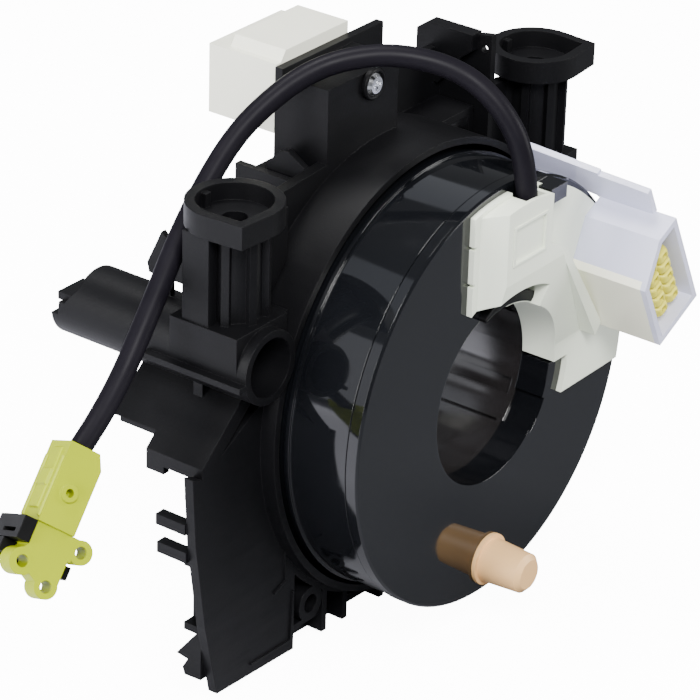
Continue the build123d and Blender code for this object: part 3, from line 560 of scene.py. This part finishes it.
def solid_from_sheets(name, top, bottom):
    """A closed mesh between two grids of points of one shape: both sheets and a wall round them."""
    rows, columns = top.shape[:2]
    points = np.concatenate([top.reshape(-1, 3), bottom.reshape(-1, 3)])
    index = np.arange(rows * columns).reshape(rows, columns)
    four = [index[:-1, :-1], index[:-1, 1:], index[1:, 1:], index[1:, :-1]]
    quads = np.stack(four, axis=-1).reshape(-1, 4)
    rim = np.concatenate([index[0, :-1], index[:-1, -1], index[-1, :0:-1], index[:0:-1, 0]])
    after = np.roll(rim, -1)
    shift = rows * columns
    wall = np.stack([after, rim, rim + shift, after + shift], axis=-1)
    return mesh_piece(name, points, np.concatenate([quads, quads[:, ::-1] + shift, wall]))


# %% [markdown]
# Inside the shroud's mouth, the yellow insert isn't flat: a rounded post stands round each
# contact, and the contact shows at the bottom of a small square well. Ten separate posts could
# be modelled one by one. Here all ten are one height field instead: a flat grid over the
# insert's face, lifted by a formula that repeats in both directions.

# %% Posts on the yellow insert
SOCKET_R = 41.0
SOCKET_ANGLE = math.radians(30.0)
SOCKET_ALONG = (SOCKET_ACROSS[1], -SOCKET_ACROSS[0])
INSERT_FRONT = -17.0
POST_STEP = (3.2, 4.6)
POST_COUNT = (5, 2)
POST_CENTRE = (1.5, 0.5)
POST_CELLS = (24, 30)
POST_H = 2.6
POST_POWER = 6
WELL_HALF = 0.68
WELL_FLOOR = 0.25
POST_SUNK = 0.15
POST_ROOT = 0.3


def post_height(t, r):
    """Height of the posts over the insert's face.

    It is one minus the sixth power of the way from a post's middle to its cell's edge, taken
    in both directions and multiplied, with a square well in the middle of each cell.
    """
    cell_t = (t - POST_CENTRE[0] + POST_STEP[0] / 2) % POST_STEP[0] - POST_STEP[0] / 2
    cell_r = (r - POST_CENTRE[1]) % POST_STEP[1] - POST_STEP[1] / 2
    round_t = 1 - np.abs(2 * cell_t / POST_STEP[0]) ** POST_POWER
    round_r = 1 - np.abs(2 * cell_r / POST_STEP[1]) ** POST_POWER
    rise = POST_H * np.clip(round_t, 0, 1) * np.clip(round_r, 0, 1)
    in_well = (np.abs(cell_t) < WELL_HALF) & (np.abs(cell_r) < WELL_HALF)
    return np.where(in_well, WELL_FLOOR, rise) - POST_SUNK


def post_line(way):
    """Evenly spaced places over all the posts in one of the two directions."""
    half = POST_STEP[way] * POST_COUNT[way] / 2
    steps = POST_CELLS[way] * POST_COUNT[way] + 1
    return np.linspace(POST_CENTRE[way] - half, POST_CENTRE[way] + half, steps)


along_t, along_r = np.meshgrid(post_line(0), post_line(1), indexing="ij")
posts_x = (
    SOCKET_R * math.cos(SOCKET_ANGLE) + along_t * SOCKET_ALONG[0] + along_r * SOCKET_ACROSS[0]
)
posts_z = (
    SOCKET_R * math.sin(SOCKET_ANGLE) + along_t * SOCKET_ALONG[1] + along_r * SOCKET_ACROSS[1]
)
posts_h = post_height(along_t, along_r)
posts_y = INSERT_FRONT - posts_h - HUB_REAR
flat_y = np.full_like(posts_y, INSERT_FRONT + POST_ROOT - HUB_REAR)
insert_posts = solid_from_sheets(
    "insert_posts",
    np.stack([posts_x, posts_y, posts_z], axis=-1) * MM,
    np.stack([posts_x, flat_y, posts_z], axis=-1) * MM,
)
insert_posts.data.materials.append(pale_yellow)
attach(insert_posts, "rotor")
print("posts:", len(insert_posts.data.polygons), "faces, highest", round(float(posts_h.max()), 2), "mm")

# %% [markdown]
# The airbag lead is a soft sleeve over thin wires. It leaves the white holder at the top, climbs over the
# drum, and falls behind the left tower to its yellow connector. It is one smooth curve with a round
# section. Its points are the route of the CAD tube, and a few of them are moved a little, so that the
# curve hangs as the real lead does and stays clear of the housing.

# %% Airbag lead
LEAD_D = 4.9
LEAD_ROUTE = [
    (5.0, -2.6, 44.6),
    (5.1, -1.9, 55.5),
    (4.2, 4.6, 66.0),
    (1.2, 13.6, 72.9),
    (-5.4, 25.0, 75.5),
    (-13.9, 33.7, 74.6),
    (-22.5, 39.0, 71.5),
    (-33.0, 42.6, 65.4),
    (-41.7, 43.8, 59.2),
    (-55.1, 42.9, 48.2),
    (-70.4, 39.0, 35.8),
    (-86.6, 36.4, 20.6),
    (-97.6, 35.4, 14.8),
]


def lead_curve(name, route, radius):
    """A NURBS line of order 3 through a route of X, depth and Z in mm, with a round section."""
    data = bpy.data.curves.new(name, "CURVE")
    data.dimensions = "3D"
    data.bevel_depth = radius * MM
    data.bevel_resolution = 8
    data.resolution_u = 16
    data.use_fill_caps = True
    line = data.splines.new("NURBS")
    line.points.add(len(route) - 1)
    for point, (x, d, z) in zip(line.points, route):
        point.co = (x * MM, depth(d), z * MM, 1.0)
    line.order_u = 3
    line.use_endpoint_u = True
    return put_in_scene(name, data)


lead = lead_curve("airbag_lead_sleeve", LEAD_ROUTE, LEAD_D / 2)
lead_finish = plastic(
    "lead_sleeve", dark=(0.005, 0.0045, 0.0065), light=(0.009, 0.008, 0.011),
    rough=0.36, smudge=0.1, grain=0.03, patch=120.0, edge=0, specular=0.06,
)
lead.data.materials.append(lead_finish)
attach(lead, "rotor")
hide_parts("airbag_lead")

# %% [markdown]
# The screw on the terminal box sits in a low black collar that keeps the driver on the head.
# It could be a cut cylinder, but it has a rounded lip, so it is a profile of radius and height
# carried once round the screw's own axis.

# %% Collar of the box screw
SCREW_AXIS = (-5.0, 66.4)
SCREW_SEAT = 32.5
COLLAR_STEPS = 64
COLLAR_OUTLINE = [(2.7, 0.05), (3.6, 0.05), (3.6, 0.9), (3.5, 1.15), (3.25, 1.3), (2.95, 1.25), (2.7, 1.0)]


def ring_about(name, axis_xz, outline, seat):
    """A closed ring: each point of radius and height over the seat turns once about a line along Y."""
    angles = np.linspace(0, 2 * np.pi, COLLAR_STEPS, endpoint=False)[:, None]
    radius, height = np.array(outline).T
    x = axis_xz[0] + radius * np.cos(angles)
    z = axis_xz[1] + radius * np.sin(angles)
    y = np.broadcast_to(seat - height - HUB_REAR, x.shape)
    points = np.stack([x, y, z], axis=-1).reshape(-1, 3) * MM
    index = np.arange(x.size).reshape(x.shape)
    turned = np.roll(index, -1, axis=0)
    four = [index, np.roll(index, -1, axis=1), np.roll(turned, -1, axis=1), turned]
    return mesh_piece(name, points, np.stack(four, axis=-1).reshape(-1, 4))


screw_collar = ring_about("screw_collar", SCREW_AXIS, COLLAR_OUTLINE, SCREW_SEAT)
screw_collar.data.materials.append(housing_black)
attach(screw_collar, "housing")
print("collar:", len(screw_collar.data.polygons), "faces")

# %% [markdown]
# Between the white block and the hub's mouth, a dark gap shows the black disc and hub in shade as a
# crescent. Here a black piece stands on the disc's face over the holder's white rim, so its dark is partly
# the plastic's own black and partly painted shade. It could be a cut ring, but then both its ends would be
# blunt. Here its outer radius follows half an ellipse over the angle, so that it narrows to a tail at one
# end, and the other end stops where the holder's band begins.

# %% Crescent at the hub's mouth
CRESCENT_FROM = 62.2
CRESCENT_TO = 109.0
CRESCENT_MIDDLE = 75.0
CRESCENT_REACH = 35.0
CRESCENT_R = 21.75
CRESCENT_WIDE = 2.6
CRESCENT_H = 1.75
CRESCENT_CROWN = 0.2
CRESCENT_CELLS = (120, 8)


def crescent_sheets():
    """Front and back sheet of the crescent, as grids of points in metres.

    The inner radius is fixed. The outer one adds the width times the root of one minus the
    square of the way from the middle angle to the reach. The front stands above the disc by
    its height and half a sine wave between the two radii. The back lies in the disc's face.
    """
    turns = np.linspace(CRESCENT_FROM, CRESCENT_TO, CRESCENT_CELLS[0] + 1)[:, None]
    angle = np.radians(turns)
    part_way = (turns - CRESCENT_MIDDLE) / CRESCENT_REACH
    outer_r = CRESCENT_R + CRESCENT_WIDE * np.sqrt(np.clip(1 - part_way**2, 0, 1))
    share = np.linspace(0, 1, CRESCENT_CELLS[1] + 1)[None, :]
    ring_r = CRESCENT_R + (outer_r - CRESCENT_R) * share
    height = CRESCENT_H + CRESCENT_CROWN * np.sin(np.pi * share)
    front_y = np.broadcast_to(-height - HUB_REAR, ring_r.shape)
    back_y = np.full_like(ring_r, -HUB_REAR)
    x = ring_r * np.cos(angle)
    z = ring_r * np.sin(angle)
    return [np.stack([x, y, z], axis=-1)[::-1] * MM for y in (front_y, back_y)]


# The crescent's black is partly the black plastic in the gap and partly painted shade.
crescent = solid_from_sheets("hub_crescent", *crescent_sheets())
crescent.data.materials.append(housing_black)
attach(crescent, "rotor")
print("crescent:", len(crescent.data.polygons), "faces")

# %% [markdown]
# The yellow connector's upper side carries the latch that clicks into the airbag: a long
# tongue with a step, between two low rails. It is again a height field between two sheets,
# laid on the connector by its own three directions.

# %% Latch on the airbag connector
PLUG_END = np.array(LEAD_ROUTE[-1])
PLUG_FACE = np.array((-0.3360, -0.8433, 0.4195))
PLUG_SIDE = np.array((-0.6439, 0.5307, 0.5512))
PLUG_ALONG = np.array((-0.6875, -0.0850, -0.7216))
PLUG_HALF_H = 4.3
TONGUE_HALF = 2.3
TONGUE_SLOPE = 0.4
TONGUE_ENDS = (1.2, 14.6)
TONGUE_END_SLOPE = 0.5
TONGUE_H = 0.45
STEP_AT = 6.2
STEP_H = 0.45
DROP_AT = 9.8
DROP_H = 0.35
STEP_SLOPE = 0.3
RAIL_SIDES = (3.5, 4.5)
RAIL_SLOPE = 0.2
RAIL_ENDS = (3.0, 16.4)
RAIL_END_SLOPE = 0.4
RAIL_H = 0.5
LATCH_SUNK = 0.08
LATCH_ROOT = 0.4
LATCH_HALF = 4.7
LATCH_ENDS = (0.8, 17.0)
LATCH_POINTS = (95, 163)


def plug_points(across, out, along):
    """Points in metres from three distances in mm in the connector's own directions."""
    place = (
        PLUG_END
        + across[..., None] * PLUG_FACE
        + out[..., None] * PLUG_SIDE
        + along[..., None] * PLUG_ALONG
    )
    return (place - np.array((0.0, HUB_REAR, 0.0))) * MM


def step_up(value, start, width):
    """0 before start, 1 after start plus width, and a smooth slope between them."""
    way = np.clip((value - start) / width, 0, 1)
    return way * way * (3 - 2 * way)


def between(value, ends, width):
    """1 between two ends and 0 outside them, with a smooth slope past each end."""
    return step_up(value, ends[0], width) * (1 - step_up(value, ends[1], width))


def latch_height(across, along):
    """Height of the latch over the connector's side.

    The tongue is a flat top with sloping sides. It rises at the step and falls again past it.
    Two rails of one height run at the long edges. All slopes are smooth steps.
    """
    side = np.abs(across)
    inside = step_up(TONGUE_HALF - side, 0.0, TONGUE_SLOPE)
    length = between(along, TONGUE_ENDS, TONGUE_END_SLOPE)
    rise = STEP_H * step_up(along, STEP_AT, STEP_SLOPE)
    drop = DROP_H * step_up(along, DROP_AT, STEP_SLOPE)
    outer = step_up(RAIL_SIDES[1] - side, 0.0, RAIL_SLOPE)
    inner = step_up(side - RAIL_SIDES[0], 0.0, RAIL_SLOPE)
    rails = RAIL_H * outer * inner * between(along, RAIL_ENDS, RAIL_END_SLOPE)
    return inside * length * (TONGUE_H + rise - drop) + rails - LATCH_SUNK


latch_across, latch_along = np.meshgrid(
    np.linspace(-LATCH_HALF, LATCH_HALF, LATCH_POINTS[0]),
    np.linspace(*LATCH_ENDS, LATCH_POINTS[1]),
    indexing="ij",
)
latch_out = PLUG_HALF_H + latch_height(latch_across, latch_along)
latch_root = np.full_like(latch_out, PLUG_HALF_H - LATCH_ROOT)
latch = solid_from_sheets(
    "connector_latch",
    plug_points(latch_across, latch_out, latch_along),
    plug_points(latch_across, latch_root, latch_along),
)
latch.data.materials.append(bright_yellow)
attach(latch, "rotor")
print("latch:", len(latch.data.polygons), "faces")

# %% [markdown]
# The floor gets its paint last. The camera sees it bright and matt, while mirrored light finds
# it dim, like the room. A Mix Shader driven by Light Path keeps the two apart. The dim side is
# darker at the front right than at the back left, which is what the disc's face and the drum's
# side mirror.

# %% Floor finish
FLOOR_SEEN = (0.93, 0.93, 0.93, 1.0)
FLOOR_FRONT = (0.15, 0.155, 0.17, 1.0)
FLOOR_BACK = (0.80, 0.80, 0.88, 1.0)
FADE_FROM = -0.05
FADE_TO = 0.15
floor_paint, paint, seen_paint = new_material("floor_paint")
paint_link = paint.links.new
seen_paint.inputs["Base Color"].default_value = FLOOR_SEEN
seen_paint.inputs["Roughness"].default_value = 0.9
seen_paint.inputs["Specular IOR Level"].default_value = 0.0
seen_paint.inputs["Emission Color"].default_value = (1.0, 1.0, 1.0, 1.0)
paint_link(seen_strength(paint, 0.0), seen_paint.inputs["Emission Strength"])
mirrored_paint = add_node(paint, "ShaderNodeBsdfDiffuse")
floor_place = add_node(paint, "ShaderNodeTexCoord")
floor_axes = add_node(paint, "ShaderNodeSeparateXYZ")
floor_side = add_node(paint, "ShaderNodeMath", operation="SUBTRACT")
floor_tone = add_node(paint, "ShaderNodeMapRange", {"From Min": FADE_FROM, "From Max": FADE_TO})
floor_colour = add_node(
    paint, "ShaderNodeMix", {"A": FLOOR_FRONT, "B": FLOOR_BACK}, data_type="RGBA"
)
floor_ray = add_node(paint, "ShaderNodeLightPath")
either = add_node(paint, "ShaderNodeMixShader")
paint_link(floor_place.outputs["Object"], floor_axes.inputs["Vector"])
paint_link(floor_axes.outputs["Y"], floor_side.inputs[0])
paint_link(floor_axes.outputs["X"], floor_side.inputs[1])
paint_link(floor_side.outputs["Value"], floor_tone.inputs["Value"])
paint_link(floor_tone.outputs["Result"], floor_colour.inputs["Factor"])
paint_link(floor_colour.outputs["Result"], mirrored_paint.inputs["Color"])
paint_link(floor_ray.outputs["Is Camera Ray"], either.inputs["Fac"])
paint_link(mirrored_paint.outputs["BSDF"], either.inputs[1])
paint_link(seen_paint.outputs["BSDF"], either.inputs[2])
paint_link(either.outputs["Shader"], paint.nodes["Material Output"].inputs["Surface"])
studio_floor.data.materials.append(floor_paint)
print("floor painted:", floor_paint.name)
